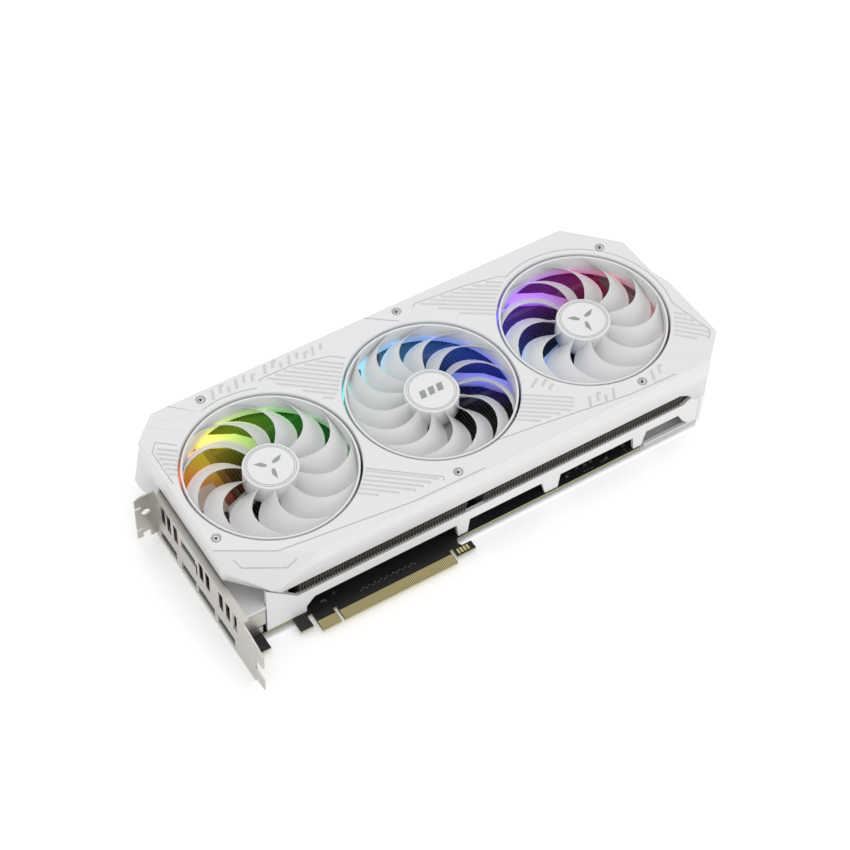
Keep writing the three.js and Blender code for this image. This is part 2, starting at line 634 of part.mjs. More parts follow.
const PIPE_R = 3;
const PIPE_Z = 12.2;
const pipeRows = [28, 44, 60, 76, 92, 108];

// A heat pipe runs under both stacks, over the cold plate.
function heatPipe(y) {
  const geometry = new THREE.CylinderGeometry(PIPE_R, PIPE_R, 268, 12);
  return solid(geometry.rotateZ(Math.PI / 2).translate(162, y, PIPE_Z));
}

// ---------- assembly ----------
place('fan_shroud', shroud(), white);
place('side_frame_near', nearFrame(), white);
place('side_frame_far', farFrame(), white);
place('end_frame', endFrame(), white);
place('socket_deck', deck(), white);
place('backplate', backplate(), whiteMetal);
place('circuit_board', board(), black);
place('io_bracket', bracket(), steel);
for (const { name, mouth } of sockets) {
  place(name, socket(mouth), steel);
}
for (const { name, x0, x1 } of CONTACTS) {
  const top = block(x0 + 0.4, x1 - 0.4, TONGUE_Y + 1.9, 2.4, BOARD_Z1 + 0.05, BOARD_Z1 + 0.15);
  const back = block(x0 + 0.4, x1 - 0.4, TONGUE_Y + 1.9, 2.4, BOARD_Z0 - 0.15, BOARD_Z0 - 0.05);
  place(`contacts_${name}_top`, top, gold);
  place(`contacts_${name}_back`, back, gold);
}
place('gpu_package', gpuPackage(), black);
place('memory_chips', memoryChips(), black);
place('choke_row_1', chokeRow(74), black);
place('choke_row_2', chokeRow(174), black);
place('cold_plate', coldPlate(), copper);
place('fin_stack_1', finStack(40, 146), finBlack);
place('fin_stack_2', finStack(156, 296), finBlack);
pipeRows.forEach((y, i) => place(`heat_pipe_${i + 1}`, heatPipe(y), copper));
for (let i = 0; i < FAN_COUNT; i++) {
  place(`fan_stator_${i + 1}`, stator(i), black);
  place(`fan_rotor_${i + 1}`, rotor(i), white);
  place(`fan_shaft_${i + 1}`, shaft(i), steel);
  place(`light_bar_${i + 1}`, lightBar(i), diffuser);
}
[196, 217.5, 239].forEach((x, i) => place(`power_socket_${i + 1}`, powerSocket(x), black));
place('switch_body', switchBody(), black);
place('switch_lever', switchLever(), white);
screwPlaces.forEach(([x, y], i) => place(`shroud_screw_${i + 1}`, buttonScrew(x, y), steel));
place('spring_plate', springPlate(), steel);
springHoles.forEach(([x, y], i) => place(`spring_screw_${i + 1}`, springScrew(x, y), steel));

// The origin is the centre of the card's footprint, on the backplate's outer face.
drawing.position.set(
  -(CARD_LENGTH - TAB_REACH) / 2,
  -(FAR_Y + BRACKET_LOW_Y) / 2,
  -BOTTOM_Z,
);

export default card;
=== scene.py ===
"""Looks for a triple-fan graphics card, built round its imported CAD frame.

Lengths in this file are millimetres on the card's drawing: X from the bracket's outer face to the
far end, Y upwards with the tab's plane at 100, Z from the bracket's lower edge. row() turns a point
into metres in the row frame.
"""

import math
import random

import bmesh
import bpy
import numpy as np
from mathutils import Matrix, Vector
from mathutils.geometry import delaunay_2d_cdt


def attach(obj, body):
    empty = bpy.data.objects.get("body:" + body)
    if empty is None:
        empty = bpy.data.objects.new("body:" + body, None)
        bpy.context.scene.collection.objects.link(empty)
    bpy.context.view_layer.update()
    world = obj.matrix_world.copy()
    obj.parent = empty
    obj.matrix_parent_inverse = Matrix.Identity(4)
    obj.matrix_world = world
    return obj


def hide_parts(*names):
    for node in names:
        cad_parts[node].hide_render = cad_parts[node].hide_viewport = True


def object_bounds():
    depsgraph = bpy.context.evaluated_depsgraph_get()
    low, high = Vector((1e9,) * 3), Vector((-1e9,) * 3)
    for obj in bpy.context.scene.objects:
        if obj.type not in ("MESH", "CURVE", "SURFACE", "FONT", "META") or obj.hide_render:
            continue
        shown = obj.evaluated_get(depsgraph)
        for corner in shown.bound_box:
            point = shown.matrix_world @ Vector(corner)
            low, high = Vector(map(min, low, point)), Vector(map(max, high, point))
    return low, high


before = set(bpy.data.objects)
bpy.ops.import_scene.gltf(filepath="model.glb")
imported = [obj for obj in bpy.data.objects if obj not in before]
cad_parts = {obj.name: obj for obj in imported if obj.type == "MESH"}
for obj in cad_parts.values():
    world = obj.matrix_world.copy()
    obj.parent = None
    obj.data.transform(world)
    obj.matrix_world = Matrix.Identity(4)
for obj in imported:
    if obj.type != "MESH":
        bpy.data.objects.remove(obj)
cad_low, cad_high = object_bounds()

# ---------- driving dimensions, millimetres ----------
MM = 0.001
CARD_LENGTH = 318.5
FAR_Y = 135.96
BOTTOM_Z = -0.8
TOP_Z = 57.0
FAN_X0 = 56.9
FAN_PITCH = 101.2
FAN_Y = 70.8
OPENING_R = 49.2
RING_R = 47.9
HUB_R = 15.5
HUB_TOP_Z = 55.6
NEAR_WALL_Y = 8.0
LEFT_WALL_X = 3.4
BOARD_Z0 = 2.2
BOARD_Z1 = 3.8
FIN_FAR_Y = 130.0

ZERO = Vector((cad_high.x - CARD_LENGTH * MM, cad_high.y - FAR_Y * MM, cad_low.z - BOTTOM_Z * MM))
TO_ROW = Matrix.Translation(ZERO) @ Matrix.Scale(MM, 4)
FANS = [(FAN_X0 + i * FAN_PITCH, FAN_Y) for i in range(3)]


def row(x, y, z):
    """A drawing point in metres, in the row frame."""
    return TO_ROW @ Vector((x, y, z))


# ---------- materials ----------
def add_node(tree, kind, **inputs):
    node = tree.nodes.new(kind)
    for key, value in inputs.items():
        node.inputs[key.replace("_", " ")].default_value = value
    return node


def material(name, colour, roughness, metallic=0.0, grain=1200.0, mottle=0.02, bump=0.02,
             rough_spread=0.05, stretch=(1, 1, 1), **sockets):
    """A surface whose colour, roughness and fine bump vary a little, at the grain given per metre."""
    made = bpy.data.materials.new(name)
    made.use_nodes = True
    tree = made.node_tree
    shader = tree.nodes["Principled BSDF"]
    shader.inputs["Metallic"].default_value = metallic
    for key, value in sockets.items():
        shader.inputs[key.replace("_", " ")].default_value = value
    coords = tree.nodes.new("ShaderNodeTexCoord")
    mapping = tree.nodes.new("ShaderNodeMapping")
    mapping.inputs["Scale"].default_value = stretch
    tree.links.new(coords.outputs["Object"], mapping.inputs["Vector"])
    broad = add_node(tree, "ShaderNodeTexNoise", Scale=grain / 20, Detail=3.0)
    fine = add_node(tree, "ShaderNodeTexNoise", Scale=grain, Detail=2.0)
    for noise in (broad, fine):
        tree.links.new(mapping.outputs["Vector"], noise.inputs["Vector"])
    tint = tree.nodes.new("ShaderNodeMix")
    tint.data_type = "RGBA"
    tint.inputs[6].default_value = [max(0, c * (1 - mottle)) for c in colour] + [1]
    tint.inputs[7].default_value = [min(1, c * (1 + mottle)) for c in colour] + [1]
    tree.links.new(broad.outputs["Fac"], tint.inputs[0])
    tree.links.new(tint.outputs[2], shader.inputs["Base Color"])
    gloss = add_node(tree, "ShaderNodeMapRange", To_Min=max(0.02, roughness - rough_spread),
                     To_Max=min(1.0, roughness + rough_spread))
    tree.links.new(fine.outputs["Fac"], gloss.inputs["Value"])
    tree.links.new(gloss.outputs["Result"], shader.inputs["Roughness"])
    relief = add_node(tree, "ShaderNodeBump", Strength=bump, Distance=0.0002)
    tree.links.new(fine.outputs["Fac"], relief.inputs["Height"])
    tree.links.new(relief.outputs["Normal"], shader.inputs["Normal"])
    return made


# The hue of the light bars at each angle round the fan, in degrees from +X towards +Y.
BLACK = (0, 0, 0)
HUES = [
    [(0, (0.0, 0.10, 0.01)), (26, (0.01, 0.3, 0.02)), (55, (0.05, 0.6, 0.03)), (90, (0.5, 0.85, 0.02)),
     (112, (1.0, 0.8, 0.03)), (130, (1.0, 0.4, 0.02)), (148, (0.9, 0.1, 0.02)), (163, (0.3, 0.03, 0.01)),
     (182, BLACK), (340, BLACK)],
    [(0, (0.02, 0.03, 0.7)), (20, (0.03, 0.06, 0.9)), (50, (0.05, 0.2, 1.0)), (96, (0.15, 0.55, 1.0)),
     (126, (0.15, 0.8, 0.95)), (153, (0.1, 0.7, 0.55)), (180, (0.02, 0.2, 0.12)), (195, BLACK), (335, BLACK),
     (350, (0.03, 0.01, 0.35))],
    [(0, (0.2, 0.0, 0.0)), (12, (0.35, 0.0, 0.02)), (35, (0.6, 0.01, 0.08)), (60, (0.55, 0.02, 0.3)),
     (85, (0.45, 0.03, 0.75)), (125, (0.2, 0.06, 1.0)), (160, (0.05, 0.2, 1.0)), (180, (0.03, 0.45, 1.0)),
     (205, (0.05, 0.1, 0.7)), (230, BLACK)],
]


def math_node(tree, operation, *values):
    node = tree.nodes.new("ShaderNodeMath")
    node.operation = operation
    for slot, value in enumerate(values):
        if isinstance(value, (int, float)):
            node.inputs[slot].default_value = value
        else:
            tree.links.new(value, node.inputs[slot])
    return node.outputs[0]


def ease(tree, value, start, end, low, high):
    """A value brought smoothly from one range to another and held at the ends."""
    node = tree.nodes.new("ShaderNodeMapRange")
    node.interpolation_type = "SMOOTHSTEP"
    tree.links.new(value, node.inputs["Value"])
    for key, number in (("From Min", start), ("From Max", end), ("To Min", low), ("To Max", high)):
        node.inputs[key].default_value = number
    return node.outputs["Result"]


def ring_light(tree, index, reach, depth):
    """What a fan's light bar throws, as a colour to paint: a hue for each angle, fading towards the hub and
    upwards.
    """
    place = tree.nodes.new("ShaderNodeNewGeometry").outputs["Position"]
    offset = tree.nodes.new("ShaderNodeVectorMath")
    offset.operation = "SUBTRACT"
    offset.inputs[1].default_value = row(*FANS[index], 0)
    tree.links.new(place, offset.inputs[0])
    parts = tree.nodes.new("ShaderNodeSeparateXYZ")
    tree.links.new(offset.outputs[0], parts.inputs[0])
    turn = math_node(tree, "ARCTAN2", parts.outputs["Y"], parts.outputs["X"])
    share = math_node(tree, "FRACT", math_node(tree, "DIVIDE", turn, 2 * math.pi))
    ramp = tree.nodes.new("ShaderNodeValToRGB")
    stops = ramp.color_ramp.elements
    for angle, colour in HUES[index]:
        stops.new(angle / 360).color = (*colour, 1)
    stops.remove(stops[0])
    stops[len(stops) - 1].position = 1.0
    stops[len(stops) - 1].color = (*HUES[index][0][1], 1)
    tree.links.new(share, ramp.inputs["Fac"])
    flat = tree.nodes.new("ShaderNodeVectorMath")
    flat.operation = "MULTIPLY"
    flat.inputs[1].default_value = (1, 1, 0)
    tree.links.new(offset.outputs[0], flat.inputs[0])
    length = tree.nodes.new("ShaderNodeVectorMath")
    length.operation = "LENGTH"
    tree.links.new(flat.outputs[0], length.inputs[0])
    radius = length.outputs["Value"]
    near = ease(tree, radius, reach[0] * MM, reach[1] * MM, reach[2], 1.0)
    inside = ease(tree, radius, 50 * MM, 53 * MM, 1.0, 0.0)
    level = ease(tree, parts.outputs["Z"], depth[0] * MM, depth[1] * MM, 1.0, 0.0)
    amount = math_node(tree, "MULTIPLY", math_node(tree, "MULTIPLY", near, inside), level)
    scaled = tree.nodes.new("ShaderNodeVectorMath")
    scaled.operation = "SCALE"
    tree.links.new(ramp.outputs["Color"], scaled.inputs[0])
    tree.links.new(amount, scaled.inputs["Scale"])
    return scaled.outputs[0]


def lit_by_fans(made, fans, strength, reach=(12, 49, 0.12), depth=(50, 60)):
    """Adds the light bars' colour to a surface round the given fans as emission: on the bars themselves their
    own glow, on other parts painted light.
    """
    tree = made.node_tree
    shader = tree.nodes["Principled BSDF"]
    total = ring_light(tree, fans[0], reach, depth)
    for index in fans[1:]:
        both = tree.nodes.new("ShaderNodeVectorMath")
        tree.links.new(total, both.inputs[0])
        tree.links.new(ring_light(tree, index, reach, depth), both.inputs[1])
        total = both.outputs[0]
    tree.links.new(total, shader.inputs["Emission Color"])
    shader.inputs["Emission Strength"].default_value = strength
    return made


WHITE = (0.80, 0.805, 0.815)
white_plastic = material("white_plastic", WHITE, 0.42, grain=2600, mottle=0.01, bump=0.03)
# Each rotor's white carries painted light: its fan's light-bar glow, as emission on the blades' low, outer
# parts.
rotor_whites = [
    lit_by_fans(
        material(f"white_rotor_{i + 1}", (0.82, 0.825, 0.83), 0.36, grain=3000, mottle=0.008, bump=0.02),
        [i], 0.4, reach=(20, 47, 0.0), depth=(44.5, 48.5))
    for i in range(3)
]
white_coat = material("white_coat", (0.78, 0.785, 0.80), 0.5, grain=3500, mottle=0.015, bump=0.08)
pattern_grey = material("pattern_grey", (0.62, 0.625, 0.635), 0.35, grain=2000, mottle=0.02, bump=0.02)
mark_grey = material("mark_grey", (0.33, 0.34, 0.35), 0.4, metallic=0.3, grain=2000, bump=0.02)
board_mask = material("board_mask", (0.012, 0.013, 0.014), 0.38, grain=1500, mottle=0.2, bump=0.05)
gold = material("contact_gold", (0.86, 0.72, 0.36), 0.36, metallic=0.7, grain=2500, mottle=0.05)
copper_pad = material("copper_pad", (0.72, 0.30, 0.14), 0.35, metallic=0.9, grain=2500, mottle=0.1)
brushed = material("brushed_steel", (0.52, 0.507, 0.468), 0.34, metallic=1.0, grain=1800, mottle=0.06,
                   bump=0.06, stretch=(1, 0.04, 1))
pressed = material("pressed_steel", (0.52, 0.51, 0.49), 0.36, metallic=1.0, grain=1600, mottle=0.06)
bright = material("bright_screw", (0.72, 0.72, 0.71), 0.2, metallic=1.0, grain=2400, mottle=0.04)
# Near-black: the sockets' insulating tongues, and painted shade in the casing screws' hex holes.
black_insulator_and_hole_shade = material("black_insulator_and_hole_shade", (0.006, 0.006, 0.006), 0.7, grain=2000, mottle=0.2)
moulded_black = material("moulded_black", (0.02, 0.02, 0.021), 0.45, grain=2200, mottle=0.15, bump=0.08)
fin_metal = material("fin_metal", (0.143, 0.13, 0.114), 0.45, metallic=0.5, grain=1400, mottle=0.2)
# Painted light: the light bars' glow on the fins, as emission.
lit_by_fans(fin_metal, [0, 1, 2], 0.17, reach=(20, 49, 0.08))
pipe_metal = material("pipe_metal", (0.62, 0.50, 0.42), 0.3, metallic=1.0, grain=1200, mottle=0.08)
lead_brown = material("lead_brown", (0.05, 0.035, 0.03), 0.35, grain=1500, mottle=0.1)
duct_grey = material("duct_grey", (0.09, 0.088, 0.085), 0.3, grain=900, mottle=0.1)
# Painted light: the first fan's light-bar glow on the duct tray, as emission.
lit_by_fans(duct_grey, [0], 0.4, depth=(45, 55))
frame_grey = material("frame_grey", (0.30, 0.305, 0.31), 0.45, grain=2200, mottle=0.05, bump=0.04)
chip_dark = material("chip_dark", (0.03, 0.03, 0.032), 0.35, grain=2600, mottle=0.1)
chip_body = material("ceramic_part", (0.16, 0.14, 0.12), 0.5, grain=3000, mottle=0.2)
solder = material("solder", (0.65, 0.65, 0.64), 0.3, metallic=1.0, grain=3000, mottle=0.1)
diffusers = [
    lit_by_fans(material(f"light_bar_{i + 1}", (0.8, 0.8, 0.78), 0.4), [i], 0.8, depth=(60, 61))
    for i in range(3)
]
# Grey struts with painted light: each fan's light-bar glow on them, as emission.
struts = [
    lit_by_fans(material(f"strut_{i + 1}", (0.62, 0.62, 0.62), 0.45, grain=2200), [i], 0.8)
    for i in range(3)
]


# ---------- mesh helpers ----------
def new_object(name, mesh, finish, body, sharp_deg=30.0, smooth=True):
    """Puts a mesh drawn in millimetres into the scene, in the row frame, riding a body."""
    mesh.transform(TO_ROW)
    mesh.materials.append(finish)
    if smooth:
        mesh.shade_smooth()
        mesh.set_sharp_from_angle(angle=math.radians(sharp_deg))
    made = bpy.data.objects.new(name, mesh)
    bpy.context.scene.collection.objects.link(made)
    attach(made, body)
    return made


def mesh_from(name, points, faces):
    mesh = bpy.data.meshes.new(name)
    mesh.from_pydata([tuple(p) for p in points], [], faces)
    mesh.validate()
    return mesh


def close_outwards(mesh):
    """Merges shared corners and points every face outwards."""
    work = bmesh.new()
    work.from_mesh(mesh)
    bmesh.ops.remove_doubles(work, verts=work.verts, dist=1e-4)
    bmesh.ops.recalc_face_normals(work, faces=work.faces)
    work.to_mesh(mesh)
    work.free()
    return mesh


def bevel(made, width, segments=2, angle=35.0):
    """Rounds the edges of a piece, after welding its split corners."""
    weld = made.modifiers.new("weld", "WELD")
    weld.merge_threshold = 1e-6
    rounding = made.modifiers.new("rounding", "BEVEL")
    rounding.width = width * MM
    rounding.segments = segments
    rounding.limit_method = "ANGLE"
    rounding.angle_limit = math.radians(angle)
    rounding.harden_normals = False
    return made


def box_points(x0, x1, y0, y1, z0, z1):
    return [(x, y, z) for z in (z0, z1) for x, y in ((x0, y0), (x1, y0), (x1, y1), (x0, y1))]


BOX_FACES = [(3, 2, 1, 0), (4, 5, 6, 7), (0, 1, 5, 4), (1, 2, 6, 5), (2, 3, 7, 6), (3, 0, 4, 7)]


def boxes_mesh(name, boxes):
    """One mesh of separate boxes, each given as (x0, x1, y0, y1, z0, z1)."""
    points, faces = [], []
    for box in boxes:
        start = len(points)
        points += box_points(*box)
        faces += [tuple(start + k for k in face) for face in BOX_FACES]
    return mesh_from(name, points, faces)


def prism_mesh(name, outline, z0, z1):
    count = len(outline)
    points = [(x, y, z0) for x, y in outline] + [(x, y, z1) for x, y in outline]
    faces = [tuple(range(count))[::-1], tuple(range(count, 2 * count))]
    faces += [(i, (i + 1) % count, count + (i + 1) % count, count + i) for i in range(count)]
    return close_outwards(mesh_from(name, points, faces))


def turned_mesh(name, cx, cy, profile, segments=96):
    """A closed loop of (radius, z) turned about a vertical axis, its points on the axis merged."""
    points, faces = [], []
    count = len(profile)
    for k in range(segments):
        angle = 2 * math.pi * k / segments
        points += [(cx + r * math.cos(angle), cy + r * math.sin(angle), z) for r, z in profile]
    for k in range(segments):
        here, there = k * count, ((k + 1) % segments) * count
        for j in range(count):
            nxt = (j + 1) % count
            faces.append((here + j, there + j, there + nxt, here + nxt))
    return close_outwards(mesh_from(name, points, faces))


def arc(cx, cy, radius, start, end, steps):
    angles = [math.radians(start + (end - start) * k / steps) for k in range(steps + 1)]
    return [(cx + radius * math.cos(a), cy + radius * math.sin(a)) for a in angles]


# ---------- shroud ----------
EDGE_ROUND = 0.7
NEAR_TOP_Y = 8.8
FOLD_Z = 51.4
SHROUD_OUTLINE = [
    (LEFT_WALL_X, 28.4), (21, 9.8), (27, NEAR_TOP_Y), (302, NEAR_TOP_Y), (CARD_LENGTH, 24.5),
    (CARD_LENGTH, 30), (317, 69), (313.5, 80), (312.5, 108), (311, 112.5), (296, 127), (287, FAR_Y),
    (28, FAR_Y), (18, 133.5), (11, 127), (LEFT_WALL_X, 119.8), (LEFT_WALL_X, 98.1),
    (LEFT_WALL_X, 97.9),
]
SKIRT_STEPS = [(20.9, 42.0), (27.0, 37.8), (287.0, 37.8), (296.0, 26.8)]
NEAR_CREASE = [(LEFT_WALL_X, 37.6), (31, 21), (33, 20), (110, 10.5), (302, 10.5)]
FAR_CREASE_Y = 133.6
GROOVE_FLOOR = 0.5
LINE_HALF = 0.36
LINE_DEPTH = 0.95
SOFT_HALF = 0.7
SOFT_DEPTH = 0.25
HATCH_HALF = 1.0
SCREW_SEAT_R = 2.95
WALL_THICK = 1.8

LINES = [
    [(28.5, 133.3), (42.5, 121.3), *arc(*FANS[0], 52.6, 106, 69, 12)],
    [(6.5, 86), (6.5, 109.5), (11.2, 115), (20, 107.5)],
    [(80, 123.4), (81.5, 124.6), (101, 124.2), (122, 119.3), (128.5, 113.8)],
    [(99, 42.5), (131.3, 16.8), (130.5, 14.4)],
    [(153, 133.2), (168, 121.8)],
    [(181, 126.6), (183, 128.2), (214, 125.3), (234.5, 121.4), (238.3, 118.8),
     *arc(*FANS[2], 52.4, 113, -18, 26), (315.4, 26.8), (311, 22)],
    [(170, 22.6), (190, 20.2), (215, 16.8), (250, 11.8), (279.5, 10.9)],
    [(3.6, 37.5), (31, 21), (33, 20), (110, 10.9), (153.5, 10.3)],
    [(10.8, 29.1), (13.1, 24.1), (33.3, 12.2), (38.9, 12.5)],
]
SOFT_LINES = [
    [(11.5, 126.3), (26.5, 114.2)],
    [(20, 126.5), (38, 121.5)],
    [(178, 10.4), (147, 21.4)],
    [(304, 10.5), (283, 25)],
    [(264, 131.2), (296, 126)],
    [(30, 13.4), (34.5, 15.6), (38.5, 13.4)],
]
HATCHES = [
    {"area": [(82, 122.6), (101, 122.2), (121, 117.6), (126.5, 112.6), (113, 96.5), (107, 92), (102, 99),
              (94, 109)], "slope": -38, "pitch": 3.1, "depth": 1.1},
    {"area": [(84, 28.8), (90, 33), (98.5, 40.6), (128.3, 17.2), (112, 17)],
     "slope": -38.5, "pitch": 3.0, "depth": 1.1},
    {"area": [(184, 31), (192, 37), (199, 44.5), (222, 27), (216, 19.5), (192, 22.5)],
     "slope": -35, "pitch": 2.9, "depth": 1.1},
    {"area": [(185, 126), (215, 123.2), (233.5, 119.6), (236, 118), (224, 108.5), (217, 98.5), (208, 100.5),
              (199, 112)], "slope": -33, "pitch": 3.0, "depth": 1.1},
    {"area": [(308, 50.5), (314, 27), (311, 24), (299, 28), (296, 33), (304, 44)],
     "slope": -44, "pitch": 3.2, "depth": 1.1},
    {"area": [(8, 84), (8.2, 107), (11.4, 111.5), (19, 105), (13, 95), (9.5, 85)],
     "slope": -38, "pitch": 3.1, "depth": 1.2},
]
# Bands of plain slanted bars: start, direction in degrees, length, height and bar pitch.
BANDS = [
    {"start": (52, 124.6), "turn": 1, "length": 30, "height": 6.6, "pitch": 4.9},
    {"start": (85, 126.4), "turn": -4, "length": 40, "height": 6.0, "pitch": 4.9},
    {"start": (205.5, 43.5), "turn": -38, "length": 17, "height": 7.0, "pitch": 4.9},
    {"start": (226, 15.8), "turn": -7, "length": 22, "height": 6.6, "pitch": 4.9},
    {"start": (267, 13.2), "turn": 1, "length": 13, "height": 7.0, "pitch": 4.9},
]
STRIP_HALF = 0.8
SCREWS = [(46, 128.5), (171, 128.5), (298, 110.5), (9, 43.5), (140, 15.5), (260.8, 16)]


def offset_line(points, distance):
    """The same open line moved sideways, with mitred corners."""
    moved = []
    for k, here in enumerate(points):
        before = points[max(0, k - 1)]
        after = points[min(len(points) - 1, k + 1)]
        normals = []
        for a, b in ((before, here), (here, after)):
            length = math.dist(a, b)
            if length > 1e-9:
                normals.append((-(b[1] - a[1]) / length, (b[0] - a[0]) / length))
        nx = sum(n[0] for n in normals)
        ny = sum(n[1] for n in normals)
        scale = distance * len(normals) / max(0.4, nx * nx + ny * ny)
        moved.append((here[0] + nx * scale, here[1] + ny * scale))
    return moved


def inset_loop(points, distance):
    """A closed outline pushed inwards."""
    count = len(points)
    moved = []
    for k, here in enumerate(points):
        before, after = points[k - 1], points[(k + 1) % count]
        u = (Vector(here) - Vector(before)).normalized()
        v = (Vector(after) - Vector(here)).normalized()
        bisector = Vector((-(u.y + v.y), u.x + v.x))
        moved.append(tuple(Vector(here) + bisector * (distance / (1 + u.dot(v)))))
    return moved


def clip_line(start, direction, area):
    """The stretches of an endless line that lie inside a polygon."""
    crossings = []
    for a, b in zip(area, area[1:] + area[:1]):
        edge = (b[0] - a[0], b[1] - a[1])
        cross = direction[0] * edge[1] - direction[1] * edge[0]
        if abs(cross) < 1e-9:
            continue
        gap = (a[0] - start[0], a[1] - start[1])
        along = (gap[0] * edge[1] - gap[1] * edge[0]) / cross
        share = (gap[0] * direction[1] - gap[1] * direction[0]) / cross
        if 0 <= share < 1:
            crossings.append(along)
    crossings.sort()
    pairs = zip(crossings[::2], crossings[1::2])
    return [[(start[0] + direction[0] * t, start[1] + direction[1] * t) for t in pair]
            for pair in pairs if pair[1] - pair[0] > 3]


def hatch_lines(area, slope, pitch, **_):
    direction = (math.cos(math.radians(slope)), math.sin(math.radians(slope)))
    normal = (-direction[1], direction[0])
    reach = [p[0] * normal[0] + p[1] * normal[1] for p in area]
    first = math.ceil(min(reach) / pitch)
    last = math.floor(max(reach) / pitch)
    lines = []
    for k in range(first, last + 1):
        start = (normal[0] * k * pitch, normal[1] * k * pitch)
        lines += clip_line(start, direction, area)
    return lines


def band_bars(start, turn, length, height, pitch):
    """Slanted strokes of unlike lengths along a band, some with a foot."""
    across = Vector((math.cos(math.radians(turn)), math.sin(math.radians(turn))))
    up = Vector((-across.y, across.x))
    slant = across * 0.4 + up
    lines = []
    for k in range(int(length / pitch)):
        foot = Vector(start) + across * (k * pitch)
        low, high = ((0, 1), (0, 0.62), (0.3, 1))[k * 5 % 3]
        line = [foot + slant * (height * low), foot + slant * (height * high)]
        if k % 4 == 1:
            line.append(line[1] + across * (pitch * 0.45))
        lines.append([tuple(p) for p in line])
    return lines


def all_grooves():
    """Every engraved line on the shroud as (points, half width, depth)."""
    grooves = [(line, LINE_HALF, LINE_DEPTH) for line in LINES]
    grooves += [(line, SOFT_HALF, SOFT_DEPTH) for line in SOFT_LINES]
    for hatch in HATCHES:
        grooves += [(line, HATCH_HALF, hatch["depth"]) for line in hatch_lines(**hatch)]
    return grooves


def extended(points, by):
    """An open line made longer at both ends."""
    a, b = Vector(points[0]), Vector(points[1])
    y, z = Vector(points[-2]), Vector(points[-1])
    first = a + (a - b).normalized() * by
    last = z + (z - y).normalized() * by
    return [tuple(first), *points[1:-1], tuple(last)]


def distance_to_line(xy, points):
    best = np.full(len(xy), 1e9)
    for a, b in zip(points, points[1:]):
        a, b = np.array(a, float), np.array(b, float)
        edge = b - a
        share = np.clip(((xy - a) @ edge) / (edge @ edge), 0, 1)
        best = np.minimum(best, np.linalg.norm(xy - (a + share[:, None] * edge), axis=1))
    return best


def shroud_height(xy, grooves):
    """The casing's upper surface: a flat top, its sloping faces, round edges and engraved lines."""
    x, y = xy[:, 0], xy[:, 1]
    corner = TOP_Z - 0.95 * np.maximum(0, -0.5145 * (x - 31) - 0.8575 * (y - 21))
    band = TOP_Z - 0.07 * np.maximum(0, -0.122 * (x - 33) - 0.9925 * (y - 20))
    near = TOP_Z - 0.2 * np.maximum(0, 10.5 - y)
    far = TOP_Z - 1.45 * np.maximum(0, y - FAR_CREASE_Y)
    far_right = TOP_Z - np.maximum(0, x - 301 + y - 118) * 0.8
    z = np.minimum.reduce([corner, np.maximum(band, near), far, far_right])
    edge = distance_to_line(xy, SHROUD_OUTLINE + SHROUD_OUTLINE[:1])
    inward = np.clip(EDGE_ROUND - edge, 0, EDGE_ROUND)
    z -= EDGE_ROUND - np.sqrt(EDGE_ROUND**2 - inward**2)
    for cx, cy in FANS:
        rim = np.clip(1.0 - (np.hypot(x - cx, y - cy) - OPENING_R), 0, 1.0)
        z -= 1.0 - np.sqrt(1.0 - rim**2)
    for cx, cy in SCREWS:
        z -= 1.5 * np.clip((SCREW_SEAT_R - np.hypot(x - cx, y - cy)) / 0.2, 0, 1)
    drop = np.zeros(len(xy))
    for points, half, depth in grooves:
        wall = half * (1 - GROOVE_FLOOR)
        drop = np.maximum(drop, depth * np.clip((half - distance_to_line(xy, points)) / wall, 0, 1))
    return z - drop


def skirt_bottom(x, y):
    """How far down the casing's wall reaches at a point of its outline."""
    if x < 12 and y > 98:
        return 21.0
    if x < 20.9:
        return 42.0
    for (x0, z0), (x1, z1) in zip(SKIRT_STEPS, SKIRT_STEPS[1:]):
        if x0 <= x < x1:
            return z0 + (z1 - z0) * (x - x0) / (x1 - x0)
    return SKIRT_STEPS[-1][1]


def shroud_plan(grooves):
    """Corners and edges that the casing's plan is triangulated from."""
    corners, edges = [], []

    def add(points, closed):
        start = len(corners)
        corners.extend(Vector(p) for p in points)
        edges.extend((start + k, start + k + 1) for k in range(len(points) - 1))
        if closed:
            edges.append((start + len(points) - 1, start))

    outline = []
    for a, b in zip(SHROUD_OUTLINE, SHROUD_OUTLINE[1:] + SHROUD_OUTLINE[:1]):
        steps = max(1, int(math.dist(a, b) / 6))
        outline += [tuple(Vector(a).lerp(Vector(b), k / steps)) for k in range(steps)]
    add(outline, True)
    for inward in (0.08, 0.3, 0.6, EDGE_ROUND):
        add(inset_loop(SHROUD_OUTLINE[:-2], inward), True)
    for cx, cy in FANS:
        for outward in (0.0, 0.1, 0.35, 0.65, 1.0):
            add(arc(cx, cy, OPENING_R + outward, 0, 360 - 2.5, 143), True)
    for cx, cy in SCREWS:
        for radius in (SCREW_SEAT_R - 0.2, SCREW_SEAT_R):
            add(arc(cx, cy, radius, 0, 345, 23), True)
    add(NEAR_CREASE, False)
    add([(0, FAR_CREASE_Y), (330, FAR_CREASE_Y)], False)
    add([(33, 20), (53.5, 7)], False)
    add([(285, 134), (315, 104)], False)
    for points, half, _ in grooves:
        longer = extended(points, half)
        add(offset_line(longer, half) + offset_line(longer, -half)[::-1], True)
        floor = half * GROOVE_FLOOR
        add(offset_line(points, floor) + offset_line(points, -floor)[::-1], True)
    return corners, edges


def inside_shroud(x, y):
    if any(math.hypot(x - cx, y - cy) < OPENING_R - 0.02 for cx, cy in FANS):
        return False
    inside = False
    for (x0, y0), (x1, y1) in zip(SHROUD_OUTLINE, SHROUD_OUTLINE[1:] + SHROUD_OUTLINE[:1]):
        if (y0 > y) != (y1 > y) and x < (x1 - x0) * (y - y0) / (y1 - y0) + x0:
            inside = not inside
    return inside


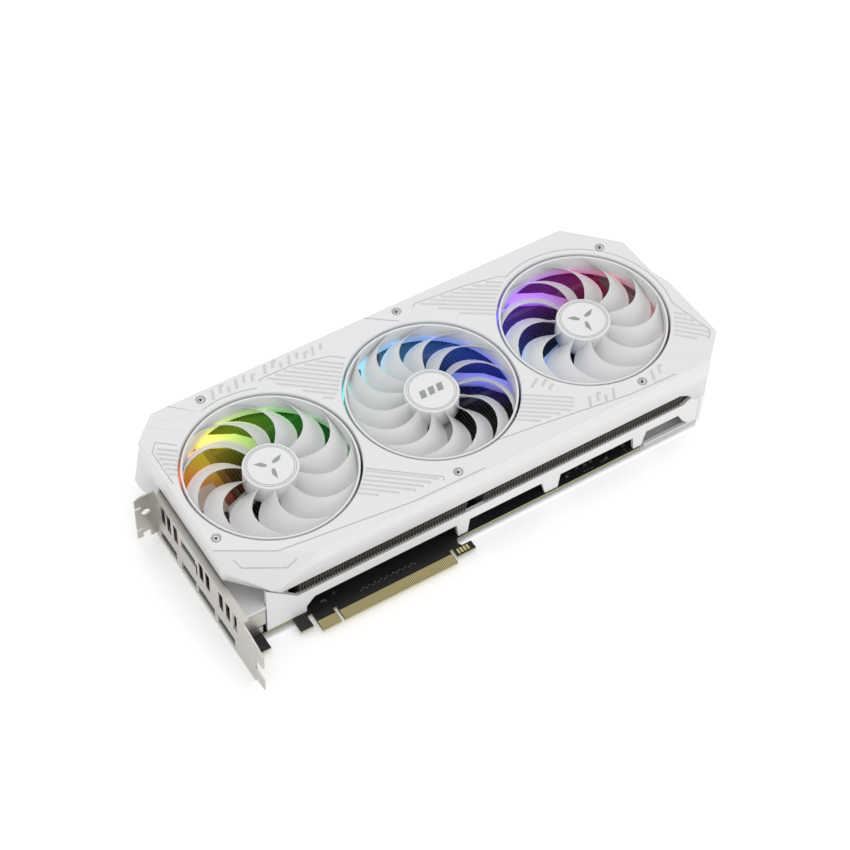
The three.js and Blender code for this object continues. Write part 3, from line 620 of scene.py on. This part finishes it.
def move_skirt_corner(vert, step):
    """Lowers one corner of the casing's wall to its next level."""
    x, y, z = vert.co
    in_opening = any(math.hypot(x - cx, y - cy) < OPENING_R + 0.5 for cx, cy in FANS)
    if step == "edge":
        vert.co.z = z - 0.3
    elif step == "fold":
        vert.co.z = min(FOLD_Z, z - 0.8)
        if 26 < x < 303 and y < NEAR_TOP_Y + 0.1:
            vert.co.y = NEAR_WALL_Y
    else:
        vert.co.z = 45.0 if in_opening else skirt_bottom(x, y)
        if x < 12 and y > 110:
            vert.co.x -= 3.0
            vert.co.y += 3.5


def build_shroud():
    grooves = all_grooves()
    corners, edges = shroud_plan(grooves)
    points, _, faces, *_ = delaunay_2d_cdt(corners, edges, [], 0, 1e-4)
    xy = np.array([tuple(p) for p in points])
    z = shroud_height(xy, grooves)
    kept = []
    for face in faces:
        centre = xy[list(face)].mean(0)
        if inside_shroud(*centre):
            kept.append(tuple(face))
    used = sorted({k for face in kept for k in face})
    renumber = {old: new for new, old in enumerate(used)}
    mesh = mesh_from("fan_casing", [(*xy[k], z[k]) for k in used],
                     [tuple(renumber[k] for k in face) for face in kept])
    work = bmesh.new()
    work.from_mesh(mesh)
    bmesh.ops.recalc_face_normals(work, faces=work.faces)
    if sum(f.normal.z for f in work.faces) < 0:
        bmesh.ops.reverse_faces(work, faces=work.faces)
    for step in ("edge", "fold", "bottom"):
        rim = [e for e in work.edges if e.is_boundary]
        grown = bmesh.ops.extrude_edge_only(work, edges=rim)
        for vert in (v for v in grown["geom"] if isinstance(v, bmesh.types.BMVert)):
            move_skirt_corner(vert, step)
    bmesh.ops.recalc_face_normals(work, faces=work.faces)
    work.to_mesh(mesh)
    work.free()
    made = new_object("fan_casing", mesh, white_plastic, "card", sharp_deg=8)
    thickness = made.modifiers.new("wall", "SOLIDIFY")
    thickness.thickness = WALL_THICK * MM
    thickness.offset = -1
    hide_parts("fan_shroud")
    return made


def build_bands():
    """Thin raised strips in a plain pattern, following the casing's surface."""
    points, faces = [], []
    for band in BANDS:
        for line in band_bars(**band):
            left, right = offset_line(line, STRIP_HALF), offset_line(line, -STRIP_HALF)
            plan = [p for pair in zip(left, right) for p in pair]
            heights = shroud_height(np.array(plan), [])
            start, count = len(points), len(plan)
            points += [(*p, z - 0.2) for p, z in zip(plan, heights)]
            points += [(*p, z + 0.07) for p, z in zip(plan, heights)]
            for k in range(0, count - 2, 2):
                low = [start + k + step for step in (0, 1, 3, 2)]
                high = [n + count for n in low]
                faces += [tuple(low), tuple(high[::-1])]
                faces += [(low[0], low[3], high[3], high[0]), (low[1], high[1], high[2], low[2])]
            first, last = start, start + count - 2
            faces += [(first, first + count, first + count + 1, first + 1)]
            faces += [(last, last + 1, last + count + 1, last + count)]
    mesh = close_outwards(mesh_from("pattern", points, faces))
    made = new_object("casing_pattern", mesh, pattern_grey, "card", smooth=False)


# ---------- screws ----------
def shroud_screw(index):
    x, y = SCREWS[index]
    seat = TOP_Z - 1.4
    profile = [(0, seat + 0.1), (0.95, seat + 0.1), (1.05, seat + 1.05), (1.5, seat + 1.15),
               (1.95, seat + 0.85), (2.2, seat + 0.4), (2.25, seat), (1.2, seat), (1.2, seat - 3),
               (0, seat - 3)]
    made = new_object(f"casing_screw_{index + 1}", turned_mesh("screw", x, y, profile, 36), bright, "card")
    # A near-black hexagon in the head's cup: painted shade for the hex hole.
    hole_shade = prism_mesh("hole_shade", arc(x, y, 0.75, 0, 300, 5), seat + 0.12, seat + 0.3)
    dark = new_object(f"casing_screw_{index + 1}_recess", hole_shade, black_insulator_and_hole_shade, "card")
    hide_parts(f"shroud_screw_{index + 1}")


# ---------- rotors ----------
BLADE_TOP_Z = 55.4
BLADE_LOW_Z = 45.2
OUTER_FAN = {"count": 11, "direction": 1, "turn": 0, "width": 26}
MIDDLE_FAN = {"count": 13, "direction": -1, "turn": 185, "width": 22.5}


def sweep_at(r):
    """The angle of a blade's leading edge at a radius, in degrees."""
    return 86 + 39 * max(0.0, (r - 16) / (RING_R - 16.5)) ** 2.6


def blade_mesh(direction, turn, width):
    """One blade: a thin curved sheet from hub to ring, high at its leading edge."""
    rows, chord, thick = 14, 9, 1.0
    top_z, low_z = BLADE_TOP_Z, BLADE_LOW_Z
    points, faces = [], []
    for side in (0, 1):
        for i in range(rows):
            r = HUB_R - 1.2 + (RING_R - 0.5 - HUB_R + 1.2) * i / (rows - 1)
            for j in range(chord):
                along = j / (chord - 1)
                angle = math.radians(turn + direction * (sweep_at(r) - width * along))
                fall = 1 - (1 - along) ** 1.25
                taper = thick * (0.45 + 0.9 * math.sin(math.pi * min(1, along + 0.12)) * 0.6)
                z = top_z - (top_z - low_z) * fall - side * taper
                points.append((r * math.cos(angle), r * math.sin(angle), z))

    def at(side, i, j):
        return side * rows * chord + i * chord + j

    for i in range(rows - 1):
        for j in range(chord - 1):
            faces.append((at(0, i, j), at(0, i, j + 1), at(0, i + 1, j + 1), at(0, i + 1, j)))
            faces.append((at(1, i, j), at(1, i + 1, j), at(1, i + 1, j + 1), at(1, i, j + 1)))
        for j in (0, chord - 1):
            faces.append((at(0, i, j), at(0, i + 1, j), at(1, i + 1, j), at(1, i, j)))
    for j in range(chord - 1):
        for i in (0, rows - 1):
            faces.append((at(0, i, j), at(0, i, j + 1), at(1, i, j + 1), at(1, i, j)))
    return points, faces


def build_rotor(index):
    cx, cy = FANS[index]
    fan = MIDDLE_FAN if index == 1 else OUTER_FAN
    points, faces = [], []
    for k in range(fan["count"]):
        turn = 360 * k / fan["count"] + fan["turn"]
        blade_points, blade_faces = blade_mesh(fan["direction"], turn, fan["width"])
        start = len(points)
        points += [(x + cx, y + cy, z) for x, y, z in blade_points]
        faces += [tuple(start + v for v in face) for face in blade_faces]
    mesh = close_outwards(mesh_from("blades", points, faces))
    body = f"fan_{index + 1}"
    z = HUB_TOP_Z
    cup = [(0, z), (12.9, z), (13.0, z - 0.25), (13.5, z - 0.25), (13.6, z), (14.7, z), (15.2, z - 0.2),
           (15.5, z - 0.75), (15.5, 43), (13.9, 43), (13.9, z - 1.6), (0, z - 1.6)]
    finish = rotor_whites[index]
    blades = new_object(f"fan_{index + 1}_blades", mesh, finish, body, sharp_deg=50)
    hub = new_object(f"fan_{index + 1}_hub", turned_mesh("hub", cx, cy, cup), finish, body)
    ring = [(46.75, 43), (47.9, 43), (47.9, 55.7), (47.7, 56.0), (47.0, 56.0), (46.75, 55.7)]
    rim = new_object(f"fan_{index + 1}_ring", turned_mesh("ring", cx, cy, ring, 160), finish, body)
    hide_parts(f"fan_rotor_{index + 1}")
    build_hub_mark(index, cx, cy, body)


def build_hub_mark(index, cx, cy, body):
    """A printed circle and a plain mark: three swept leaves, or three bars on the middle fan."""
    z0, z1 = HUB_TOP_Z - 0.02, HUB_TOP_Z + 0.06
    outlines = []
    for k, radius in enumerate((12.6, 13.75)):
        circle = [(radius, z0), (radius + 0.3, z0), (radius + 0.3, z1), (radius, z1)]
        line = new_object(f"fan_{index + 1}_circle_{k + 1}", turned_mesh("circle", cx, cy, circle),
                          mark_grey, body)
    if index == 1:
        for k in range(3):
            x = cx - 8 + 5.4 * k
            outlines.append([(x, cy - 2.6), (x + 3.6, cy - 2.6), (x + 5.0, cy + 2.6), (x + 1.4, cy + 2.6)])
    else:
        for k in range(3):
            turn = math.radians(30 + 120 * k)
            leaf = [(2.0, -0.6), (5.2, -2.1), (9.4, -0.9), (5.6, 0.6), (2.4, 0.9)]
            outlines.append([(cx + a * math.cos(turn) - b * math.sin(turn),
                              cy + a * math.sin(turn) + b * math.cos(turn)) for a, b in leaf])
    for k, outline in enumerate(outlines):
        made = new_object(f"fan_{index + 1}_mark_{k + 1}", prism_mesh("mark", outline, z0, z1), mark_grey,
                          body, smooth=False)


# ---------- stators and light bars ----------
LIGHT_BAR_ARC = (15, 200)


def build_stator(index):
    cx, cy = FANS[index]
    core = [(1.9, 38.3), (12.6, 38.3), (12.9, 38.7), (12.9, 52.4), (1.9, 52.4)]
    made = new_object(f"fan_{index + 1}_motor", turned_mesh("motor", cx, cy, core, 64), frame_grey, "card")
    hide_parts(f"fan_stator_{index + 1}")
    mirror, turn_by = (-1, -81) if index == 1 else (1, 0)
    middle = [(5, 10), (7.5, 24), (-3, 36), (-23, 46.5)]
    outline = offset_line(middle, 4.2) + offset_line(middle, -4.2)[::-1]
    for k in range(3):
        turn = math.radians(turn_by + 120 * k)
        outline_here = [(cx + mirror * a * math.cos(turn) - b * math.sin(turn),
                         cy + mirror * a * math.sin(turn) + b * math.cos(turn)) for a, b in outline]
        strut = new_object(f"fan_{index + 1}_strut_{k + 1}", prism_mesh("strut", outline_here, 38.3, 40.4),
                           struts[index], "card")
        bevel(strut, 0.4)


def build_light_bar(index):
    cx, cy = FANS[index]
    start, end = LIGHT_BAR_ARC
    outer = arc(cx, cy, OPENING_R - 0.1, start, end, 60)
    inner = arc(cx, cy, OPENING_R - 0.9, end, start, 60)
    made = new_object(f"light_strip_{index + 1}", prism_mesh("light", outer + inner, 40.9, 47.5),
                      diffusers[index], "card")
    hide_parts(f"light_bar_{index + 1}")


# ---------- heatsink ----------
FIN_PITCH = 1.75
FIN_THICK = 0.34
FIN_STACKS = [(40, 146), (156, 296)]


def build_fins(index, x0, x1):
    boxes = []
    for k in range(int((x1 - x0) / FIN_PITCH)):
        x = x0 + k * FIN_PITCH
        far = min(FIN_FAR_Y, 418 - x)
        fold = x + FIN_PITCH * 0.92
        boxes.append((x, x + FIN_THICK, 13.1, far, 15.5, 37.5))
        if x < 288:
            boxes.append((x, x + FIN_THICK, 11.2, 13.1, 23.4, 37.5))
            boxes.append((x, fold, 11.2, 13.0, 29.6, 29.9))
        boxes.append((x, fold, 13.1, far, 15.5, 15.7))
        boxes += [(x, fold, y, y + 3, 37.3, 37.6) for y in (24, 64, 104)]
    made = new_object(f"fins_{index}", boxes_mesh("fins", boxes), fin_metal, "card", smooth=False)
    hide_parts(f"fin_stack_{index}")


def build_duct_floor():
    """A smooth dark tray beside the fins, under the first fan."""
    outline = [(7, 32), (24, 15), (39.4, 15), (39.4, 129), (30, 129), (14, 120), (7, 112)]
    made = new_object("duct_floor", prism_mesh("duct", outline, 25.0, 27.0), duct_grey, "card")
    bevel(made, 0.4)
    for k in range(3):
        steps = [(9 + 2.1 * n, 78 + 3.4 * k - 0.08 * (n - 5) ** 2 - 0.9 * n) for n in range(14)]
        outline = offset_line(steps, 0.9) + offset_line(steps, -0.9)[::-1]
        wire = new_object(f"fan_lead_{k + 1}", prism_mesh("lead", outline, 27.0, 28.6), lead_brown, "card")
        bevel(wire, 0.6, 3)


# ---------- board ----------
def build_contacts():
    for name, x0, count in (("short", 45.45, 11), ("long", 59.0, 71)):
        for side, z0, z1 in (("top", BOARD_Z1 + 0.01, BOARD_Z1 + 0.09),
                             ("back", BOARD_Z0 - 0.09, BOARD_Z0 - 0.01)):
            boxes = [(x0 + k, x0 + k + 0.74, -3.5, 2.4, z0, z1) for k in range(count)]
            made = new_object(f"fingers_{name}_{side}", boxes_mesh("fingers", boxes), gold, "card",
                              smooth=False)
            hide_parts(f"contacts_{name}_{side}")
    bars = [(x, x + 1.3, 0.6, 3.9, BOARD_Z1, BOARD_Z1 + 0.06) for x in (133.6, 135.6, 137.6, 139.6)]
    mark = new_object("hook_mark", boxes_mesh("mark", bars), gold, "card", smooth=False)


def small_parts(name, boxes, ends=True):
    """Chip parts on the board: a dull body with two bright end caps."""
    bodies, caps = [], []
    for x, y, long_side, wide, tall in boxes:
        bodies.append((x, x + long_side, y, y + wide, BOARD_Z1, BOARD_Z1 + tall))
        if ends:
            cap = long_side * 0.22
            caps.append((x - 0.03, x + cap, y - 0.03, y + wide + 0.03, BOARD_Z1, BOARD_Z1 + tall + 0.03))
            caps.append((x + long_side - cap, x + long_side + 0.03, y - 0.03, y + wide + 0.03, BOARD_Z1,
                         BOARD_Z1 + tall + 0.03))
    body = new_object(name, boxes_mesh(name, bodies), chip_body, "card", smooth=False)
    if caps:
        tips = new_object(name + "_ends", boxes_mesh(name, caps), solder, "card", smooth=False)


def build_board_parts():
    draw = random.Random(7)
    row_of_caps = [(74.6 + 1.9 * k, 7.0 + 0.9 * (k % 2), 1.0, 0.55, 0.5) for k in range(19)]
    small_parts("coupling_parts", row_of_caps)
    scattered = []
    for _ in range(46):
        x = draw.choice((draw.uniform(48, 64), draw.uniform(208, 254), draw.uniform(226, 254)))
        y = draw.uniform(10.8, 23)
        long_side = draw.choice((1.0, 1.6, 2.2))
        scattered.append((x, y, long_side, long_side * 0.5, long_side * 0.4))
    small_parts("board_parts", scattered)
    chips = [(draw.uniform(208, 250), draw.uniform(14, 20), 4.0, 4.0) for _ in range(6)]
    boxes = [(x, x + w, y, y + d, BOARD_Z1, BOARD_Z1 + 1.1) for x, y, w, d in chips]
    made = new_object("board_chips", boxes_mesh("chips", boxes), chip_dark, "card", smooth=False)
    pads = [(6.0, 9.6, 1.4, 4.8, BOARD_Z1, BOARD_Z1 + 0.05), (6.0, 9.0, 8.2, 10.4, BOARD_Z1, BOARD_Z1 + 0.05)]
    pad = new_object("ground_pads", boxes_mesh("pads", pads), copper_pad, "card", smooth=False)


# ---------- sockets ----------
def build_socket_tongues():
    """The insulating tongue inside each display socket."""
    for index, y in enumerate((20, 42, 84.5)):
        boxes = [(6, 15.6, y - 6.2, y + 6.2, 7.0, 7.9)]
        made = new_object(f"displayport_{index + 1}_tongue", boxes_mesh("tongue", boxes), black_insulator_and_hole_shade, "card")
    for index, (y, z) in enumerate(((61.5, 7.25), (60.5, 28.6))):
        boxes = [(6, 15.6, y - 5.0, y + 5.0, z - 0.2, z + 0.7)]
        made = new_object(f"hdmi_{index + 1}_tongue", boxes_mesh("tongue", boxes), black_insulator_and_hole_shade, "card")


# ---------- carried-over CAD nodes ----------
NODE_FINISHES = {
    "side_frame_near": (white_plastic, 0.35), "side_frame_far": (white_plastic, 0.35),
    "end_frame": (white_plastic, 0.35), "socket_deck": (white_plastic, 0.2), "backplate": (white_coat, 0.25),
    "circuit_board": (board_mask, 0), "io_bracket": (brushed, 0.12), "gpu_package": (chip_dark, 0.1),
    "memory_chips": (chip_dark, 0.1), "choke_row": (moulded_black, 0.2), "cold_plate": (pipe_metal, 0.3),
    "heat_pipe": (pipe_metal, 0), "fan_shaft": (bright, 0.2), "power_socket": (moulded_black, 0.25),
    "switch_body": (moulded_black, 0.15), "switch_lever": (white_plastic, 0.2),
    "spring_plate": (pressed, 0.2), "spring_screw": (bright, 0.1),
    "displayport": (pressed, 0.12), "hdmi": (pressed, 0.12),
}


def show_board_core():
    """The board's cut edges show its pale core."""
    tree = board_mask.node_tree
    shader = tree.nodes["Principled BSDF"]
    face = tree.nodes.new("ShaderNodeTexCoord").outputs["Normal"]
    parts = tree.nodes.new("ShaderNodeSeparateXYZ")
    tree.links.new(face, parts.inputs[0])
    flat = math_node(tree, "GREATER_THAN", math_node(tree, "ABSOLUTE", parts.outputs["Z"]), 0.9)
    mix = tree.nodes.new("ShaderNodeMix")
    mix.data_type = "RGBA"
    mix.inputs[6].default_value = (0.40, 0.38, 0.20, 1)
    tree.links.new(shader.inputs["Base Color"].links[0].from_socket, mix.inputs[7])
    tree.links.new(flat, mix.inputs[0])
    tree.links.new(mix.outputs[2], shader.inputs["Base Color"])


def finish_nodes():
    show_board_core()
    for name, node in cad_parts.items():
        for prefix, (finish, rounding) in NODE_FINISHES.items():
            if name.startswith(prefix):
                node.data.materials.clear()
                node.data.materials.append(finish)
                if rounding:
                    bevel(node, rounding)
                break


# ---------- stage ----------
def build_stage():
    floor = bpy.data.objects.new("floor", boxes_mesh("floor", [(-3000, 3500, -3000, 3500, -30, BOTTOM_Z)]))
    floor.data.transform(TO_ROW)
    floor.data.materials.append(material("floor", (0.9, 0.9, 0.9), 0.9, grain=20, mottle=0.004, bump=0,
                                   Emission_Color=(1, 1, 1, 1), Emission_Strength=0.3))
    bpy.context.scene.collection.objects.link(floor)
    world = bpy.data.worlds.new("studio")
    world.use_nodes = True
    world.node_tree.nodes["Background"].inputs["Color"].default_value = (1, 1, 1, 1)
    world.node_tree.nodes["Background"].inputs["Strength"].default_value = 0.66
    bpy.context.scene.world = world
    for name, spot, size, power in (
        ("key", (40, 60, 1100), 0.8, 2.3),
        ("front", (150, -1000, 300), 0.9, 1.35),
        ("fill", (750, -500, 700), 0.9, 0.9),
        ("back", (200, 800, 700), 0.9, 1.4),
    ):
        lamp = bpy.data.lights.new(name, "AREA")
        lamp.size = size
        lamp.energy = power
        light = bpy.data.objects.new(name, lamp)
        light.location = row(*spot)
        light.rotation_mode = "QUATERNION"
        light.rotation_quaternion = (row(160, 70, 20) - light.location).to_track_quat("-Z", "Y")
        bpy.context.scene.collection.objects.link(light)


def build_camera():
    camera = bpy.data.objects.new("camera", bpy.data.cameras.new("camera"))
    camera.data.lens = 93.31
    camera.data.sensor_width = 36.0
    forward = Vector((0.34864, 0.51190, -0.78512)).normalized()
    up = Vector((0.40162, 0.67528, 0.61863)).normalized()
    right = forward.cross(up).normalized()
    up = right.cross(forward)
    turn = Matrix((right, up, -forward)).transposed().to_4x4()
    camera.matrix_world = Matrix.Translation(row(-273.36, -557.91, 991.25)) @ turn
    camera.data.clip_start = 0.05
    camera.data.clip_end = 20
    bpy.context.scene.collection.objects.link(camera)
    bpy.context.scene.camera = camera


build_shroud()
build_bands()
for number in range(len(SCREWS)):
    shroud_screw(number)
for number in range(3):
    build_rotor(number)
    build_stator(number)
    build_light_bar(number)
build_duct_floor()
for number, (start, end) in enumerate(FIN_STACKS, 1):
    build_fins(number, start, end)
build_contacts()
build_board_parts()
build_socket_tongues()
finish_nodes()
build_stage()
build_camera()
bpy.context.scene.view_settings.view_transform = "Standard"

bpy.context.view_layer.update()
